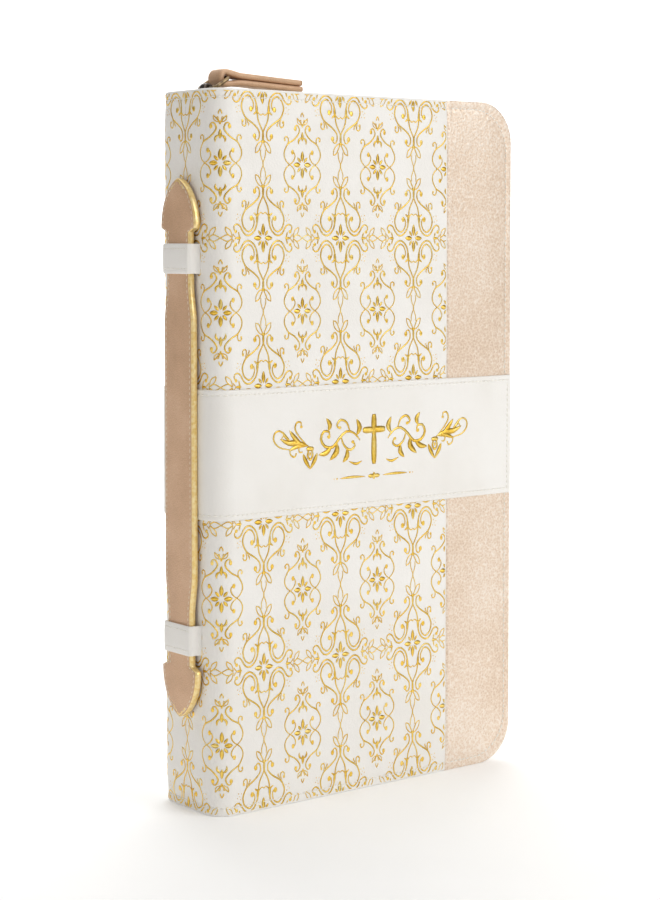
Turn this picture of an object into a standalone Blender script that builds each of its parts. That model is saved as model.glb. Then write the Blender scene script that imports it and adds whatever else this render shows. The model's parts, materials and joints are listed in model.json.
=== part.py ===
"""A zip-round prayer book: a bound book held in a padded cover, with a strap handle on its spine.

It stands upright on its lower edge. +Z is up, +X runs from the spine to the fore-edge, and the
front cover faces -Y. The origin is in the foot of the spine's skin, midway between the covers.
Everything is in metres.
"""

import math

import bmesh
import bpy

# The closed cover, and the corners that the zip runs round
HEIGHT = 0.270
WIDTH = 0.148
DEPTH = 0.038
FORE_CORNER = 0.020
SPINE_CORNER = 0.008
HINGE_FROM_SPINE = 0.010

# Sheet thicknesses, from the outside in
SKIN = 0.0010
BAND = 0.0007
BOARD = 0.0020
LINING = 0.0008
SLEEVE = 0.0008
CLEAR = 0.0003

# The plain band round the middle, and the coloured panel along the fore-edge
BAND_HEIGHT = 0.0485
BAND_SHORT = 0.0008
PANEL = 0.036

# The bound book
BOOK_BOARD = 0.0020
BOOK_SPINE = 0.0015
BOOK_CORNER = 0.009
BOOK_MARGIN = 0.008
PAGE_MARGIN = 0.009
LEAVES = 0.0018
LEAF_GAP = 0.0011
LEAF_HINGE = 0.022
SLEEVE_START = 0.060
RIBBON = 0.0004
RIBBON_WIDTH = 0.006
RIBBON_START = 0.027
RIBBON_HANG = 0.0045
HEAD_BAND_RADIUS = 0.001

# The zip
TAPE = 0.0008
TAPE_INSET = 0.0026
TAPE_START = 0.0060
TAPE_EDGE = 0.0030
BEAD_WIDTH = 0.0018
BEAD_HEIGHT = 0.0022
BEAD_MIDDLE_GAP = 0.0009
STOP_LENGTH = 0.0025
TAB_HALF_WIDTH = 0.006

# The slider, its ring and its folded pull
SLIDER_START = 0.0050
SLIDER_LENGTH = 0.0085
SLIDER_WIDTH = 0.0090
SLIDER_PLATE = 0.0012
SLIDER_GAP = 0.0030
SLIDER_POST = 0.0010
SLIDER_POST_LENGTH = 0.0022
BRIDGE_WIDTH = 0.0030
BRIDGE_WALL = 0.0010
RING_WIRE = 0.0008
RING_LENGTH = 0.0080
RING_BEND = 0.0012
RING_RISE = math.radians(32)
PULL_LENGTH = 0.036
PULL_WIDTH = 0.0085
PULL_THICK = 0.0046
PULL_FALL = math.radians(2.5)

# The handle strap on the spine, and the two keepers that hold it
HANDLE_RAISE = 0.0015
STRAP_THICK = 0.0027
GRIP_WIDTH = 0.0185
NECK_WIDTH = 0.0150
HEAD_WIDTH = 0.0225
GRIP_REACH = 0.0465
GRIP_CUT = 0.0560
CUT_GAP = 0.0008
NECK_START = 0.0620
NECK_END = 0.0808
HEAD_WIDEST = 0.0825
HEAD_TIP = 0.1007
HEAD_ROUNDING = 0.65
KEEPER_MIDDLE = 0.0710
KEEPER_HEIGHT = 0.0110
KEEPER_WIDTH = 0.0198
KEEPER_THICK = 0.0010

# Places that follow from those sizes
FACE_X = -SKIN / 2
FORE_X = FACE_X + WIDTH
HINGE_X = FACE_X + HINGE_FROM_SPINE
PANEL_X = FORE_X - PANEL
HALF_DEPTH = DEPTH / 2
BAND_RISE = CLEAR + BAND
BAND_LOW = (HEIGHT - BAND_HEIGHT) / 2
BAND_HIGH = (HEIGHT + BAND_HEIGHT) / 2
HANDLE_MIDDLE = HEIGHT / 2 + HANDLE_RAISE
LEAF_HINGE_X = FACE_X + LEAF_HINGE

# Depths of the layers of one cover, measured inward from the cover's outer face
BOARD_AT = SKIN + CLEAR
LINING_AT = BOARD_AT + BOARD + CLEAR
BOOK_BOARD_AT = LINING_AT + LINING + CLEAR
SLEEVE_AT = BOOK_BOARD_AT + BOOK_BOARD + CLEAR
LEAVES_AT = SLEEVE_AT + SLEEVE + CLEAR
PAGES_AT = LEAVES_AT + LEAVES + LEAF_GAP
PAGES_HALF = HALF_DEPTH - PAGES_AT
GUTTER_HALF = HALF_DEPTH - LEAVES_AT

# Layers behind the spine's face, measured along X
SPINE_BOARD_X = FACE_X + SKIN + CLEAR
SPINE_LINING_X = SPINE_BOARD_X + BOARD + CLEAR
BOOK_SPINE_X = SPINE_LINING_X + LINING + CLEAR
PAGES_X = BOOK_SPINE_X + BOOK_SPINE + CLEAR
PAGES_END_X = FORE_X - PAGE_MARGIN
BOARD_MARGIN = SKIN + CLEAR

ARC_STEPS = 8

for old in list(bpy.data.objects):
    bpy.data.objects.remove(old, do_unlink=True)

parts = bpy.data.collections.new("prayer_book")
cutters = bpy.data.collections.new("prayer_book_cutters")
cutters.hide_render = True
bpy.context.scene.collection.children.link(parts)
bpy.context.scene.collection.children.link(cutters)


def finish_of(name, colour, roughness, metallic=0.0):
    """A Principled material in one colour."""
    finish = bpy.data.materials.new(name)
    finish.use_nodes = True
    shader = finish.node_tree.nodes["Principled BSDF"]
    shader.inputs["Base Color"].default_value = (*colour, 1.0)
    shader.inputs["Roughness"].default_value = roughness
    shader.inputs["Metallic"].default_value = metallic
    return finish


white_leatherette = finish_of("white_leatherette", (0.90, 0.86, 0.80), 0.45)
rose_leatherette = finish_of("rose_leatherette", (0.80, 0.63, 0.48), 0.38, 0.35)
rose_leather = finish_of("rose_leather", (0.46, 0.30, 0.19), 0.42, 0.15)
cover_board = finish_of("cover_board", (0.42, 0.36, 0.28), 0.9)
lining_cloth = finish_of("lining_cloth", (0.72, 0.66, 0.56), 0.85)
book_cloth = finish_of("book_cloth", (0.70, 0.60, 0.45), 0.7)
page_paper = finish_of("page_paper", (0.88, 0.83, 0.70), 0.8)
satin_ribbon = finish_of("satin_ribbon", (0.55, 0.33, 0.16), 0.35)
zip_tape = finish_of("zip_tape", (0.84, 0.80, 0.72), 0.9)
zip_coil = finish_of("zip_coil", (0.86, 0.82, 0.74), 0.4)
dark_metal = finish_of("dark_metal", (0.10, 0.085, 0.07), 0.3, 1.0)
aged_brass = finish_of("aged_brass", (0.45, 0.33, 0.16), 0.3, 1.0)


def hinge_point(name, place, parent=None):
    """An empty on a joint's axis, which the moving pieces hang from."""
    empty = bpy.data.objects.new(name, None)
    empty.empty_display_size = 0.01
    parts.objects.link(empty)
    empty.parent = parent
    empty.location = [a - b for a, b in zip(place, parent_place.get(name_of(parent), (0, 0, 0)))]
    parent_place[name] = place
    return empty


def name_of(item):
    return item.name if item else None


parent_place = {}


def hang(piece, parent, finish):
    """Puts a piece in the model, moving with its parent, with its finish."""
    if finish is not None:
        piece.data.materials.append(finish)
    if parent is not None:
        piece.parent = parent
        origin = parent_place[parent.name]
        piece.location = [a - b for a, b in zip(piece.location, origin)]
    return piece


def arc(centre, radius, start, end, steps=ARC_STEPS):
    """Points on an arc, with its angles in degrees."""
    turns = [math.radians(start + (end - start) * step / steps) for step in range(steps + 1)]
    return [(centre[0] + radius * math.cos(a), centre[1] + radius * math.sin(a)) for a in turns]


def rectangle(low, high, fore_corner=0.0):
    """A rectangle whose two corners at the high-X side may be round."""
    if not fore_corner:
        return [low, (high[0], low[1]), high, (low[0], high[1])]
    r = fore_corner
    lower = arc((high[0] - r, low[1] + r), r, -90, 0)
    upper = arc((high[0] - r, high[1] - r), r, 0, 90)
    return [low, *lower, *upper, (low[0], high[1])]


TURNS = {
    "XY": (0.0, 0.0, 0.0),
    "XZ": (math.pi / 2, 0.0, 0.0),
    "YZ": (math.pi / 2, 0.0, math.pi / 2),
}


def sheet(name, plane, outlines, low, high, parent, finish):
    """A flat outline in a plane, given thickness from low to high along the plane's normal."""
    curve = bpy.data.curves.new(name, "CURVE")
    curve.dimensions = "2D"
    curve.fill_mode = "BOTH"
    curve.extrude = (high - low) / 2
    for outline in outlines:
        spline = curve.splines.new("POLY")
        spline.points.add(len(outline) - 1)
        for point, (a, b) in zip(spline.points, outline):
            point.co = (a, b, 0.0, 1.0)
        spline.use_cyclic_u = True
    piece = bpy.data.objects.new(name, curve)
    middle = (low + high) / 2
    piece.rotation_euler = TURNS[plane]
    piece.location = {"XY": (0, 0, middle), "XZ": (0, middle, 0), "YZ": (middle, 0, 0)}[plane]
    parts.objects.link(piece)
    return hang(piece, parent, finish)


def box(name, low, high, collection, parent=None, finish=None):
    """A box between two corners, with its origin at its centre."""
    mesh = bpy.data.meshes.new(name)
    cube = bmesh.new()
    bmesh.ops.create_cube(cube, size=1.0)
    size = [b - a for a, b in zip(low, high)]
    bmesh.ops.scale(cube, vec=size, verts=cube.verts)
    cube.to_mesh(mesh)
    cube.free()
    piece = bpy.data.objects.new(name, mesh)
    piece.location = [(a + b) / 2 for a, b in zip(low, high)]
    collection.objects.link(piece)
    return hang(piece, parent, finish)


def rod(name, route, radius, parent, finish, closed=False):
    """A round wire along a route of points."""
    curve = bpy.data.curves.new(name, "CURVE")
    curve.dimensions = "3D"
    curve.bevel_depth = radius
    curve.bevel_resolution = 2
    curve.use_fill_caps = not closed
    spline = curve.splines.new("POLY")
    spline.points.add(len(route) - 1)
    for point, place in zip(spline.points, route):
        point.co = (*place, 1.0)
    spline.use_cyclic_u = closed
    piece = bpy.data.objects.new(name, curve)
    parts.objects.link(piece)
    return hang(piece, parent, finish)


def as_mesh(piece):
    """Turns a curve piece into a welded mesh piece of the same name, so that it can be joined."""
    bpy.context.view_layer.update()
    graph = bpy.context.evaluated_depsgraph_get()
    mesh = bpy.data.meshes.new_from_object(piece.evaluated_get(graph))
    shell = bmesh.new()
    shell.from_mesh(mesh)
    bmesh.ops.remove_doubles(shell, verts=shell.verts, dist=1e-6)
    shell.to_mesh(mesh)
    shell.free()
    name, parent, matrix = piece.name, piece.parent, piece.matrix_basis.copy()
    bpy.data.objects.remove(piece, do_unlink=True)
    made = bpy.data.objects.new(name, mesh)
    parts.objects.link(made)
    made.parent = parent
    made.matrix_basis = matrix
    return made


def join(piece, *others):
    """Unites other shapes with a piece, so that they are one body."""
    for other in others:
        other.display_type = "WIRE"
        other.hide_render = True
        union = piece.modifiers.new("join_" + other.name, "BOOLEAN")
        union.operation = "UNION"
        union.object = other


def open_sides(start_top, start_bottom, inset):
    """The line that runs round a cover's top, fore-edge and bottom, an inset inside its outline."""
    radius = FORE_CORNER - inset
    centre_x = FORE_X - FORE_CORNER
    top = arc((centre_x, HEIGHT - FORE_CORNER), radius, 90, 0)
    bottom = arc((centre_x, FORE_CORNER), radius, 0, -90)
    return [(start_top, HEIGHT - inset), *top, *bottom, (start_bottom, inset)]


def open_sides_strip(start_top, start_bottom, inset, width):
    """The outline of a strip along that line, from its inset to width further in."""
    outer = open_sides(start_top, start_bottom, inset)
    inner = open_sides(start_top, start_bottom, inset + width)
    return [*outer, *reversed(inner)]


def round_the_spine(outset, thickness, end):
    """The section of a sheet bent round the spine, an outset proud of the spine's face."""
    centre_x = FACE_X + SPINE_CORNER
    centre_y = HALF_DEPTH - SPINE_CORNER
    rings = []
    for radius in (SPINE_CORNER + outset, SPINE_CORNER + outset - thickness):
        front = arc((centre_x, -centre_y), radius, 270, 180)
        back = arc((centre_x, centre_y), radius, 180, 90)
        rings.append([(end, front[0][1]), *front, *back, (end, back[-1][1])])
    return [*rings[0], *reversed(rings[1])]


def make_spine():
    """The fixed body: the spine of the cover, the zip's end tabs, and the bound pages."""
    end = HINGE_X - CLEAR / 2
    sheet("spine_skin", "XY", [round_the_spine(0, SKIN, end)], 0, HEIGHT, None, white_leatherette)
    sheet(
        "spine_band", "XY", [round_the_spine(BAND_RISE, BAND, end)],
        BAND_LOW, BAND_HIGH, None, white_leatherette,
    )
    board_half = HALF_DEPTH - SPINE_CORNER + CLEAR
    low_z, high_z = BOARD_MARGIN, HEIGHT - BOARD_MARGIN
    tab_length = SLIDER_START - SKIN - 2 * CLEAR
    board_low, board_high = low_z + TAPE_INSET, high_z - TAPE_INSET
    box(
        "spine_board", (SPINE_BOARD_X, -board_half, board_low),
        (SPINE_BOARD_X + BOARD, board_half, board_high), parts, None, cover_board,
    )
    box(
        "spine_lining", (SPINE_LINING_X, -board_half, board_low),
        (SPINE_LINING_X + LINING, board_half, board_high), parts, None, lining_cloth,
    )
    for name, foot in (("zip_tab_top", board_high + CLEAR), ("zip_tab_bottom", low_z)):
        box(
            name, (SPINE_BOARD_X, -TAB_HALF_WIDTH, foot),
            (SPINE_BOARD_X + tab_length, TAB_HALF_WIDTH, foot + TAPE_INSET - CLEAR),
            parts, None, white_leatherette,
        )


def make_bound_pages():
    """The book's own spine, its sewn text block with its gutter, head bands and ribbon."""
    spine_half = HALF_DEPTH - BOOK_BOARD_AT
    box(
        "book_spine", (BOOK_SPINE_X, -spine_half, BOOK_MARGIN),
        (BOOK_SPINE_X + BOOK_SPINE, spine_half, HEIGHT - BOOK_MARGIN), parts, None, book_cloth,
    )
    low, high = PAGE_MARGIN, HEIGHT - PAGE_MARGIN
    outline = rectangle((PAGES_X, low), (PAGES_END_X, high), BOOK_CORNER)
    block = as_mesh(sheet("text_block", "XZ", [outline], -PAGES_HALF, PAGES_HALF, None, page_paper))
    gutter = box(
        "gutter", (PAGES_X, -GUTTER_HALF, low),
        (LEAF_HINGE_X - CLEAR, GUTTER_HALF, high), cutters,
    )
    join(block, gutter)
    x = PAGES_X + 2 * HEAD_BAND_RADIUS
    reach = GUTTER_HALF - HEAD_BAND_RADIUS
    for name, z in (
        ("head_band", high + CLEAR + HEAD_BAND_RADIUS),
        ("tail_band", low - CLEAR - HEAD_BAND_RADIUS),
    ):
        rod(name, [(x, -reach, z), (x, reach, z)], HEAD_BAND_RADIUS, None, satin_ribbon)
    ribbon_face = -(PAGES_HALF + CLEAR)
    ribbon_x = FACE_X + RIBBON_START
    outline = rectangle((ribbon_x, low - RIBBON_HANG), (ribbon_x + RIBBON_WIDTH, high - RIBBON_HANG))
    sheet(
        "ribbon_marker", "XZ", [outline],
        ribbon_face - RIBBON, ribbon_face, None, satin_ribbon,
    )


def make_cover(side, way, bead_start):
    """One cover: way is -1 for the front and +1 for the back. Returns the empty on its hinge."""
    hinge = hinge_point(side + "_hinge", (HINGE_X, way * (HALF_DEPTH + BAND_RISE), 0.0))
    start = HINGE_X + CLEAR / 2

    def layer(name, outline, depth, thickness, finish):
        faces = sorted((way * (HALF_DEPTH - depth), way * (HALF_DEPTH - depth - thickness)))
        return sheet(f"{side}_{name}", "XZ", [outline], *faces, hinge, finish)

    skin = rectangle((start, 0.0), (PANEL_X - CLEAR / 2, HEIGHT))
    layer("damask_skin", skin, 0, SKIN, white_leatherette)
    panel = rectangle((PANEL_X + CLEAR / 2, 0.0), (FORE_X, HEIGHT), FORE_CORNER)
    layer("edge_panel", panel, 0, SKIN, rose_leatherette)
    band = rectangle((start, BAND_LOW), (FORE_X - BAND_SHORT, BAND_HIGH))
    layer("band", band, -BAND_RISE, BAND, white_leatherette)

    in_z = (BOARD_MARGIN, HEIGHT - BOARD_MARGIN)
    in_x = FORE_X - BOARD_MARGIN
    in_corner = FORE_CORNER - BOARD_MARGIN
    board = rectangle((start + CLEAR, in_z[0]), (in_x, in_z[1]), in_corner)
    layer("board", board, BOARD_AT, BOARD, cover_board)
    lining = rectangle((start, in_z[0]), (in_x, in_z[1]), in_corner)
    layer("lining", lining, LINING_AT, LINING, lining_cloth)

    book_high = HEIGHT - BOOK_MARGIN
    book_x = FORE_X - BOOK_MARGIN
    book = rectangle((start + BOOK_BOARD, BOOK_MARGIN), (book_x, book_high), BOOK_CORNER)
    layer("book_board", book, BOOK_BOARD_AT, BOOK_BOARD, book_cloth)
    inner = TAPE_INSET + TAPE + CLEAR
    sleeve_low = (FACE_X + SLEEVE_START, inner)
    sleeve = rectangle(sleeve_low, (FORE_X - inner, HEIGHT - inner), FORE_CORNER - inner)
    layer("sleeve", sleeve, SLEEVE_AT, SLEEVE, lining_cloth)

    tape_start = FACE_X + TAPE_START
    tape = open_sides_strip(tape_start, tape_start, TAPE_INSET, TAPE)
    tape_depth = HALF_DEPTH - TAPE_EDGE - BOOK_BOARD_AT
    layer("zip_tape", tape, BOOK_BOARD_AT, tape_depth, zip_tape)
    bead_inset = TAPE_INSET + (TAPE - BEAD_HEIGHT) / 2
    stop_start = tape_start + CLEAR
    bead_foot = stop_start + STOP_LENGTH + CLEAR
    bead = open_sides_strip(bead_start, bead_foot, bead_inset, BEAD_HEIGHT)
    bead_depth = HALF_DEPTH - BEAD_MIDDLE_GAP - BEAD_WIDTH
    layer("zip_teeth", bead, bead_depth, BEAD_WIDTH, zip_coil)
    stop = rectangle((stop_start, bead_inset), (stop_start + STOP_LENGTH, bead_inset + BEAD_HEIGHT))
    layer("zip_stop", stop, bead_depth, BEAD_WIDTH, dark_metal)
    return hinge


def make_leaves(side, way):
    """The loose leaves next to one cover, which turn at the gutter."""
    hinge = hinge_point(side + "_leaves_hinge", (LEAF_HINGE_X, way * GUTTER_HALF, 0.0))
    low = (LEAF_HINGE_X + CLEAR / 2, PAGE_MARGIN)
    outline = rectangle(low, (PAGES_END_X, HEIGHT - PAGE_MARGIN), BOOK_CORNER)
    faces = sorted((way * GUTTER_HALF, way * (GUTTER_HALF - LEAVES)))
    sheet(side + "_leaves", "XZ", [outline], *faces, hinge, page_paper)


def make_slider(back_hinge):
    """The slider, with a bridge for its ring, a wire ring, and a leather pull folded over it."""
    middle_x = FACE_X + SLIDER_START + SLIDER_LENGTH / 2
    tape_z = HEIGHT - TAPE_INSET - TAPE / 2
    runner = hinge_point("slider_runner", (middle_x, 0.0, tape_z), back_hinge)
    low_x, high_x = FACE_X + SLIDER_START, FACE_X + SLIDER_START + SLIDER_LENGTH
    half = SLIDER_WIDTH / 2
    upper = tape_z + SLIDER_GAP / 2
    lower = tape_z - SLIDER_GAP / 2
    body = box(
        "zip_slider", (low_x, -half, upper), (high_x, half, upper + SLIDER_PLATE),
        parts, runner, dark_metal,
    )
    under = box("under_plate", (low_x, -half, lower - SLIDER_PLATE), (high_x, half, lower), cutters)
    sunk = SLIDER_PLATE / 2
    post = box(
        "post", (low_x, -SLIDER_POST / 2, lower - sunk),
        (low_x + SLIDER_POST_LENGTH, SLIDER_POST / 2, upper + sunk), cutters,
    )
    eye = RING_WIRE + CLEAR
    pivot_z = upper + SLIDER_PLATE + eye
    wide = eye + BRIDGE_WALL
    arch = as_mesh(sheet(
        "bridge", "XZ",
        [[
            (middle_x - wide, upper + sunk),
            (middle_x + wide, upper + sunk),
            *arc((middle_x, pivot_z), wide, 0, 180),
        ], arc((middle_x, pivot_z), eye, 0, 360 - 360 / (2 * ARC_STEPS), 2 * ARC_STEPS - 1)],
        -BRIDGE_WIDTH / 2, BRIDGE_WIDTH / 2, None, None,
    ))
    parts.objects.unlink(arch)
    cutters.objects.link(arch)
    join(body, under, post, arch)

    ring_hinge = hinge_point("ring_hinge", (middle_x, 0.0, pivot_z), runner)
    half_y = PULL_WIDTH / 2 + CLEAR + RING_BEND
    flat = [
        *arc((RING_BEND, -half_y + RING_BEND), RING_BEND, 180, 270, 4),
        *arc((RING_LENGTH - RING_BEND, -half_y + RING_BEND), RING_BEND, 270, 360, 4),
        *arc((RING_LENGTH - RING_BEND, half_y - RING_BEND), RING_BEND, 0, 90, 4),
        *arc((RING_BEND, half_y - RING_BEND), RING_BEND, 90, 180, 4),
    ]
    route = [
        (u * math.cos(RING_RISE), v, u * math.sin(RING_RISE))
        for u, v in flat
    ]
    ring = rod("pull_ring", route, RING_WIRE, None, aged_brass, closed=True)
    ring.parent = ring_hinge

    far_x = middle_x + RING_LENGTH * math.cos(RING_RISE)
    far_z = pivot_z + RING_LENGTH * math.sin(RING_RISE)
    pull_hinge = hinge_point("pull_hinge", (far_x, 0.0, far_z), ring_hinge)
    half = PULL_THICK / 2
    rounding = 0.4 * half
    profile = [
        *arc((0.0, 0.0), half, 90, 270),
        *arc((PULL_LENGTH - rounding, -half + rounding), rounding, 270, 360, 4),
        *arc((PULL_LENGTH - rounding, half - rounding), rounding, 0, 90, 4),
    ]
    hole = arc((0.0, 0.0), eye, 0, 360 - 360 / (2 * ARC_STEPS), 2 * ARC_STEPS - 1)
    pull = sheet(
        "leather_pull", "XZ", [profile, hole], -PULL_WIDTH / 2, PULL_WIDTH / 2, None, rose_leather,
    )
    pull.parent = pull_hinge
    pull.rotation_euler = (math.pi / 2, PULL_FALL, 0.0)


def strap_half_width(reach):
    """Half the strap's width at a distance from its middle, along its length."""
    reach = abs(reach)
    if reach <= GRIP_REACH:
        return GRIP_WIDTH / 2
    if reach <= NECK_START:
        share = (reach - GRIP_REACH) / (NECK_START - GRIP_REACH)
        ease = share * share * (3 - 2 * share)
        return (GRIP_WIDTH + (NECK_WIDTH - GRIP_WIDTH) * ease) / 2
    if reach <= NECK_END:
        return NECK_WIDTH / 2
    share = (reach - HEAD_WIDEST) / (HEAD_TIP - HEAD_WIDEST)
    return HEAD_WIDTH / 2 * math.sin(math.pi / 2 * min(1 - share, 1.0) ** HEAD_ROUNDING)


def strap_outline(reaches, way=1):
    """The outline of a stretch of the strap, from the distances at which its width is taken."""
    right = [(strap_half_width(r), HANDLE_MIDDLE + way * r) for r in reaches]
    left = [(-y, z) for y, z in reversed(right)]
    points = right + left
    return [p for i, p in enumerate(points) if i == 0 or math.dist(p, points[i - 1]) > 1e-6]


def make_handle():
    """The strap: a grip that is pulled out, and two headed ends that slide in their keepers."""
    inner = FACE_X - BAND_RISE - CLEAR
    outer = inner - STRAP_THICK
    grip_hinge = hinge_point("grip_slide", (inner, 0.0, HANDLE_MIDDLE))
    ease = [GRIP_REACH + (GRIP_CUT - CUT_GAP - GRIP_REACH) * i / 3 for i in range(4)]
    reaches = [*reversed([-r for r in ease]), *ease]
    sheet("handle_grip", "YZ", [strap_outline(reaches)], outer, inner, grip_hinge, rose_leather)
    ease = [GRIP_CUT + (NECK_START - GRIP_CUT) * i / 3 for i in range(4)]
    head = [HEAD_WIDEST + (HEAD_TIP - HEAD_WIDEST) * i / 8 for i in range(9)]
    for name, way in (("upper", 1), ("lower", -1)):
        place = (inner, 0.0, HANDLE_MIDDLE + way * GRIP_CUT)
        slide = hinge_point(f"{name}_end_slide", place, grip_hinge)
        outline = strap_outline([*ease, NECK_END, *head], way)
        sheet(f"handle_{name}_end", "YZ", [outline], outer, inner, slide, rose_leather)

        wing_x = FACE_X - CLEAR
        top_x = outer - CLEAR
        inside = NECK_WIDTH / 2 + CLEAR
        wing_y = KEEPER_WIDTH / 2
        half = [
            (wing_x, wing_y), (wing_x - KEEPER_THICK, wing_y),
            (wing_x - KEEPER_THICK, inside + KEEPER_THICK), (top_x - KEEPER_THICK, inside + KEEPER_THICK),
        ]
        under = [(top_x, inside), (wing_x, inside)]
        hat = [
            *half, *[(x, -y) for x, y in reversed(half)],
            *[(x, -y) for x, y in reversed(under)], *under,
        ]
        middle = HANDLE_MIDDLE + way * KEEPER_MIDDLE
        sheet(
            f"{name}_keeper", "XY", [hat],
            middle - KEEPER_HEIGHT / 2, middle + KEEPER_HEIGHT / 2, None, white_leatherette,
        )


make_spine()
make_bound_pages()
slider_end = FACE_X + SLIDER_START + SLIDER_LENGTH
make_cover("front", -1, slider_end + CLEAR)
back_hinge = make_cover("back", 1, FACE_X + SLIDER_START + SLIDER_POST_LENGTH + CLEAR)
make_leaves("front", -1)
make_leaves("back", 1)
make_slider(back_hinge)
make_handle()
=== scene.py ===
import json
import math

import bmesh
import bpy
from mathutils import Matrix, Vector, noise


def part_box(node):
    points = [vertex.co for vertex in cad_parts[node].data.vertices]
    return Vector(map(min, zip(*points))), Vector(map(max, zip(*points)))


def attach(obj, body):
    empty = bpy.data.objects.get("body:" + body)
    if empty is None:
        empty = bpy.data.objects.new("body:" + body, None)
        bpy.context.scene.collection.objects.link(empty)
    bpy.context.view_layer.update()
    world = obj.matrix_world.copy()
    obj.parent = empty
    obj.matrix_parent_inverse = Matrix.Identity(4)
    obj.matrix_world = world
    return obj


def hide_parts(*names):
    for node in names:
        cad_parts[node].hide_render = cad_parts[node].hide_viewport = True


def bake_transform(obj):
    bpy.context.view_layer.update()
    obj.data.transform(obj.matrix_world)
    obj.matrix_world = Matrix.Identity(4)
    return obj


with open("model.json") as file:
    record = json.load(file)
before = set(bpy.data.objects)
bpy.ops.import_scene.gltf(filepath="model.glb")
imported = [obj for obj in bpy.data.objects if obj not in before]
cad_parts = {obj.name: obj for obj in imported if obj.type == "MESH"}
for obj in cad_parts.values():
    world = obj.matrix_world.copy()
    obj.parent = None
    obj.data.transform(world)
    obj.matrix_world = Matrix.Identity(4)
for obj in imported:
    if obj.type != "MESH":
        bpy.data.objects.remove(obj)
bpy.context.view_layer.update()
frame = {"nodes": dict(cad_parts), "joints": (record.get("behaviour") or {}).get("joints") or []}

# ---------------------------------------------------------------------------------------------
# The room: a pale sweep of paper under soft lamps. The key lamp stands in front of the front
# cover, so that the spine falls into a soft shade.

bpy.context.scene.view_settings.view_transform = "Standard"

CAMERA_TURN = math.radians(-38.43)
CAMERA_FALL = math.radians(3.0)
CAMERA_PLACE = Vector((-0.4304, -0.6278, 0.2140))
CAMERA_LENS = 81.5
CAMERA_SHIFT = -0.1135
lens = bpy.data.cameras.new("camera")
lens.lens = CAMERA_LENS
lens.shift_y = CAMERA_SHIFT
lens.clip_start = 0.01
camera = bpy.data.objects.new("camera", lens)
camera.location = CAMERA_PLACE
camera.rotation_euler = (math.pi / 2 - CAMERA_FALL, 0.0, CAMERA_TURN)
bpy.context.scene.collection.objects.link(camera)
bpy.context.scene.camera = camera


def lamp(name, place, target, size, watts, colour=(1.0, 1.0, 1.0)):
    """A square soft box that faces its target."""
    light = bpy.data.lights.new(name, "AREA")
    light.size = size
    light.energy = watts
    light.color = colour
    holder = bpy.data.objects.new(name, light)
    holder.location = place
    aim = Vector(target) - Vector(place)
    holder.rotation_euler = aim.to_track_quat("-Z", "Y").to_euler()
    bpy.context.scene.collection.objects.link(holder)


MIDDLE = (0.06, 0.0, 0.14)
lamp("key_lamp", (0.55, -1.15, 0.85), MIDDLE, 0.9, 8.6, (1.0, 0.985, 0.96))
lamp("top_lamp", (0.0, 0.1, 1.4), MIDDLE, 1.0, 4.3)
lamp("left_lamp", (-1.3, -0.2, 0.5), MIDDLE, 0.8, 1.1, (1.0, 0.82, 0.60))
lamp("sweep_lamp", (0.75, 0.95, 1.35), (1.1, 1.4, 0.0), 1.2, 20.0)
lamp("rim_lamp", (0.9, 0.9, 0.7), MIDDLE, 0.7, 1.0)

world = bpy.data.worlds.new("studio")
world.use_nodes = True
world.node_tree.nodes["Background"].inputs["Color"].default_value = (1.0, 1.0, 1.0, 1.0)
world.node_tree.nodes["Background"].inputs["Strength"].default_value = 0.35
bpy.context.scene.world = world


class Wire:
    """A value that flows between shader nodes, so that shader maths reads as arithmetic."""

    def __init__(self, finish, socket):
        self.finish = finish
        self.socket = socket

    def maths(self, operation, first, second):
        return self.finish.node("Math", {"operation": operation}, first, second)

    def __add__(self, other):
        return self.maths("ADD", self, other)

    def __mul__(self, other):
        return self.maths("MULTIPLY", self, other)

    __radd__ = __add__
    __rmul__ = __mul__


class Finish:
    """One material: a Principled shader, and the nodes that vary it."""

    def __init__(self, name, **values):
        self.material = bpy.data.materials.new(name)
        self.material.use_nodes = True
        self.tree = self.material.node_tree
        self.shader = self.tree.nodes["Principled BSDF"]
        for key, value in values.items():
            self.shader.inputs[key.replace("_", " ")].default_value = value

    def node(self, kind, settings, *inputs, out=0):
        """Adds a node, sets it, then feeds its sockets in order; None leaves a socket as it is."""
        made = self.tree.nodes.new("ShaderNode" + kind)
        for key, value in settings.items():
            if key == "stops":
                ramp = made.color_ramp
                for index, (place, colour) in enumerate(value):
                    stop = ramp.elements[index] if index < 2 else ramp.elements.new(place)
                    stop.position = place
                    stop.color = (*colour, 1.0)
            elif key == "sockets":
                for socket_name, socket_value in value.items():
                    self.feed(made.inputs[socket_name], socket_value)
            else:
                setattr(made, key, value)
        for socket, value in zip(made.inputs, inputs):
            self.feed(socket, value)
        return Wire(self, made.outputs[out])

    def feed(self, socket, value):
        if isinstance(value, Wire):
            self.tree.links.new(value.socket, socket)
        elif value is not None:
            socket.default_value = value

    def place(self):
        """The shaded point, in metres from the piece's origin."""
        return self.node("TexCoord", {}, out=3)

    def noise(self, scale, detail=2.0, roughness=0.5, where=None):
        sockets = {
            "Vector": where or self.place(), "Scale": scale,
            "Detail": detail, "Roughness": roughness,
        }
        return self.node("TexNoise", {"sockets": sockets})

    def cells(self, scale):
        return self.node("TexVoronoi", {"sockets": {"Vector": self.place(), "Scale": scale}})

    def colours(self, share, *stops):
        """Base colour from a ramp of colours over a share from 0 to 1."""
        self.vary("Base Color", self.node("ValToRGB", {"stops": stops}, share))

    def relief(self, height, depth):
        """Bump of a given depth in metres."""
        settings = {"sockets": {"Strength": 1.0, "Distance": depth, "Height": height}}
        self.vary("Normal", self.node("Bump", settings))

    def vary(self, name, value):
        self.feed(self.shader.inputs[name], value)


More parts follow.
